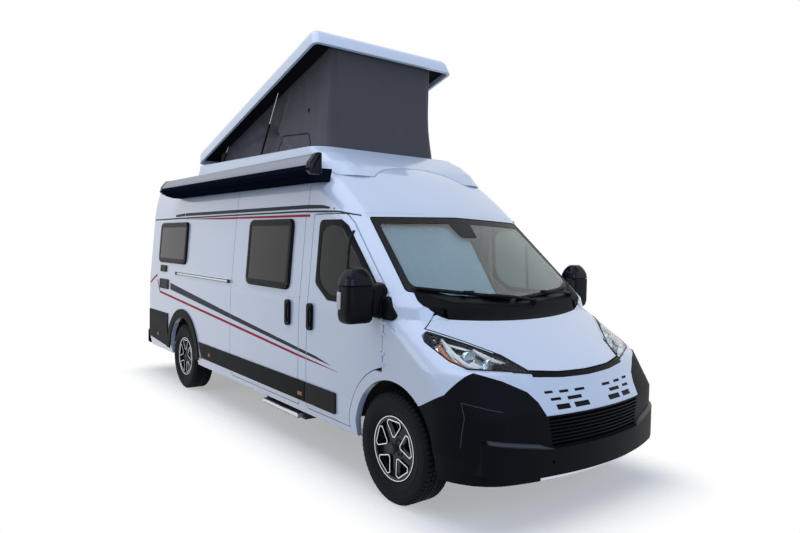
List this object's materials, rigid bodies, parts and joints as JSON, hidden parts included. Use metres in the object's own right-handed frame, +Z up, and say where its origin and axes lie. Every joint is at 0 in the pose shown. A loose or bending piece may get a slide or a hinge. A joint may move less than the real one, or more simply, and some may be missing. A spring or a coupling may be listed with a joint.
{
  "type": "camper van",
  "caption": "High-roof camper van with a raised rear-hinged pop-up roof, tent canvas, roof awning, sliding side door, twin rear doors and black lower trim.",
  "frame": {"origin": "on the ground under the middle of the overall box", "axes": "+X forward, +Y to the left of the vehicle, +Z up"},
  "size_m": [6.363, 2.5362, 3.5911],
  "materials": {
    "white_paint": "gloss white paint",
    "black_plastic": "grained black plastic",
    "clear_glass": "clear glass",
    "tinted_acrylic": "dark tinted acrylic",
    "lamp_clear": "clear lamp cover",
    "lamp_red": "red lamp cover",
    "moulded_white": "white moulded shell",
    "tent_canvas": "grey tent canvas",
    "awning_metal": "anodised aluminium",
    "bright_metal": "bare aluminium",
    "under_steel": "dark underbody paint",
    "engine_iron": "cast iron",
    "exhaust_steel": "dull steel",
    "tank_plastic": "black plastic",
    "dash_plastic": "soft black plastic",
    "seat_cloth": "dark grey cloth",
    "cabin_wood": "light laminated wood",
    "tyre_rubber": "black tyre rubber",
    "wheel_alloy": "black painted alloy"
  },
  "bodies": {
    "van_body": {"side_panel_right": "white_paint", "side_panel_left": "white_paint", "roof_panel": "white_paint", "wing_right": "white_paint", "wing_left": "white_paint", "grille_panel": "white_paint", "sliding_door": "white_paint", "cowl_panel": "black_plastic", "nose_strip": "black_plastic", "front_bumper": "black_plastic", "rear_bumper": "black_plastic", "side_trims": "black_plastic", "side_fittings": "black_plastic", "awning_rail": "black_plastic", "wheel_liners": "black_plastic", "windscreen": "clear_glass", "camper_windows": "tinted_acrylic", "headlamps": "lamp_clear", "rear_lamps": "lamp_red", "roof_collar": "moulded_white", "roof_canvas": "tent_canvas", "awning_case": "awning_metal", "slide_rail": "bright_metal", "floor_pan": "under_steel", "front_subframe": "under_steel", "rear_axle": "under_steel", "step_cassette": "under_steel", "engine_block": "engine_iron", "exhaust": "exhaust_steel", "fuel_tank": "tank_plastic", "dashboard": "dash_plastic", "cab_seats": "seat_cloth", "furniture": "cabin_wood"},
    "cab_leaf_right": {"front_door_right": "white_paint", "door_glass_right": "clear_glass", "door_trim_right": "black_plastic"},
    "cab_leaf_left": {"front_door_left": "white_paint", "door_glass_left": "clear_glass", "door_trim_left": "black_plastic"},
    "rear_leaf_left": {"rear_door_left": "white_paint", "rear_glass_left": "tinted_acrylic"},
    "rear_leaf_right": {"rear_door_right": "white_paint", "rear_glass_right": "tinted_acrylic"},
    "bonnet_lid": {"bonnet": "white_paint"},
    "pop_roof": {"roof_shell": "moulded_white"},
    "step_board": {"entry_step": "bright_metal"},
    "steer_column": {"steering_wheel": "dash_plastic"},
    "hub_front_right": {"knuckle_right": "under_steel"},
    "hub_front_left": {"knuckle_left": "under_steel"},
    "wheel_front_right": {"tyre_front_right": "tyre_rubber", "rim_front_right": "wheel_alloy"},
    "wheel_front_left": {"tyre_front_left": "tyre_rubber", "rim_front_left": "wheel_alloy"},
    "wheel_rear_right": {"tyre_rear_right": "tyre_rubber", "rim_rear_right": "wheel_alloy"},
    "wheel_rear_left": {"tyre_rear_left": "tyre_rubber", "rim_rear_left": "wheel_alloy"}
  },
  "joints": [
    {"name": "steer_left", "type": "hinge", "parent": "van_body", "child": "hub_front_left", "pos_m": [2.2335, 0.78, 0.372], "axis": [0, 0, 1], "range_deg": [-33, 33]},
    {"name": "steer_right", "type": "hinge", "parent": "van_body", "child": "hub_front_right", "pos_m": [2.2335, -0.78, 0.372], "axis": [0, 0, 1], "range_deg": [-33, 33]},
    {"name": "steer_wheel_turn", "type": "hinge", "parent": "van_body", "child": "steer_column", "pos_m": [1.83, 0.42, 1.13], "axis": [-0.8829, 0, 0.4695], "range_deg": [-462, 462]},
    {"name": "spin_front_left", "type": "hinge", "parent": "hub_front_left", "child": "wheel_front_left", "pos_m": [2.2335, 0.905, 0.372], "axis": [0, 1, 0], "continuous": true},
    {"name": "spin_front_right", "type": "hinge", "parent": "hub_front_right", "child": "wheel_front_right", "pos_m": [2.2335, -0.905, 0.372], "axis": [0, 1, 0], "continuous": true},
    {"name": "spin_rear_left", "type": "hinge", "parent": "van_body", "child": "wheel_rear_left", "pos_m": [-1.8015, 0.895, 0.372], "axis": [0, 1, 0], "continuous": true},
    {"name": "spin_rear_right", "type": "hinge", "parent": "van_body", "child": "wheel_rear_right", "pos_m": [-1.8015, -0.895, 0.372], "axis": [0, 1, 0], "continuous": true},
    {"name": "cab_door_right", "type": "hinge", "parent": "van_body", "child": "cab_leaf_right", "pos_m": [2.118, -1.025, 1.065], "axis": [0, 0, 1], "range_deg": [0, 70]},
    {"name": "cab_door_left", "type": "hinge", "parent": "van_body", "child": "cab_leaf_left", "pos_m": [2.118, 1.025, 1.065], "axis": [0, 0, -1], "range_deg": [0, 70]},
    {"name": "rear_door_left_swing", "type": "hinge", "parent": "van_body", "child": "rear_leaf_left", "pos_m": [-3.167, 0.884, 1.17], "axis": [0, 0, -1], "range_deg": [0, 95]},
    {"name": "rear_door_right_swing", "type": "hinge", "parent": "van_body", "child": "rear_leaf_right", "pos_m": [-3.167, -0.884, 1.17], "axis": [0, 0, 1], "range_deg": [0, 95]},
    {"name": "bonnet_lift", "type": "hinge", "parent": "van_body", "child": "bonnet_lid", "pos_m": [2.355, 0, 1.295], "axis": [0, -1, 0], "range_deg": [0, 55]},
    {"name": "roof_lower", "type": "hinge", "parent": "van_body", "child": "pop_roof", "pos_m": [-1.93, 0, 2.64], "axis": [0, 1, 0], "range_deg": [0, 17.9], "deforming": ["roof_canvas"]},
    {"name": "step_slide", "type": "slide", "parent": "van_body", "child": "step_board", "axis": [0, -1, 0], "range_m": [0, 0.25]}
  ],
  "couplings": [
    {"joint": "steer_right", "follows": "steer_left", "ratio": 1},
    {"joint": "steer_wheel_turn", "follows": "steer_left", "ratio": 14}
  ]
}
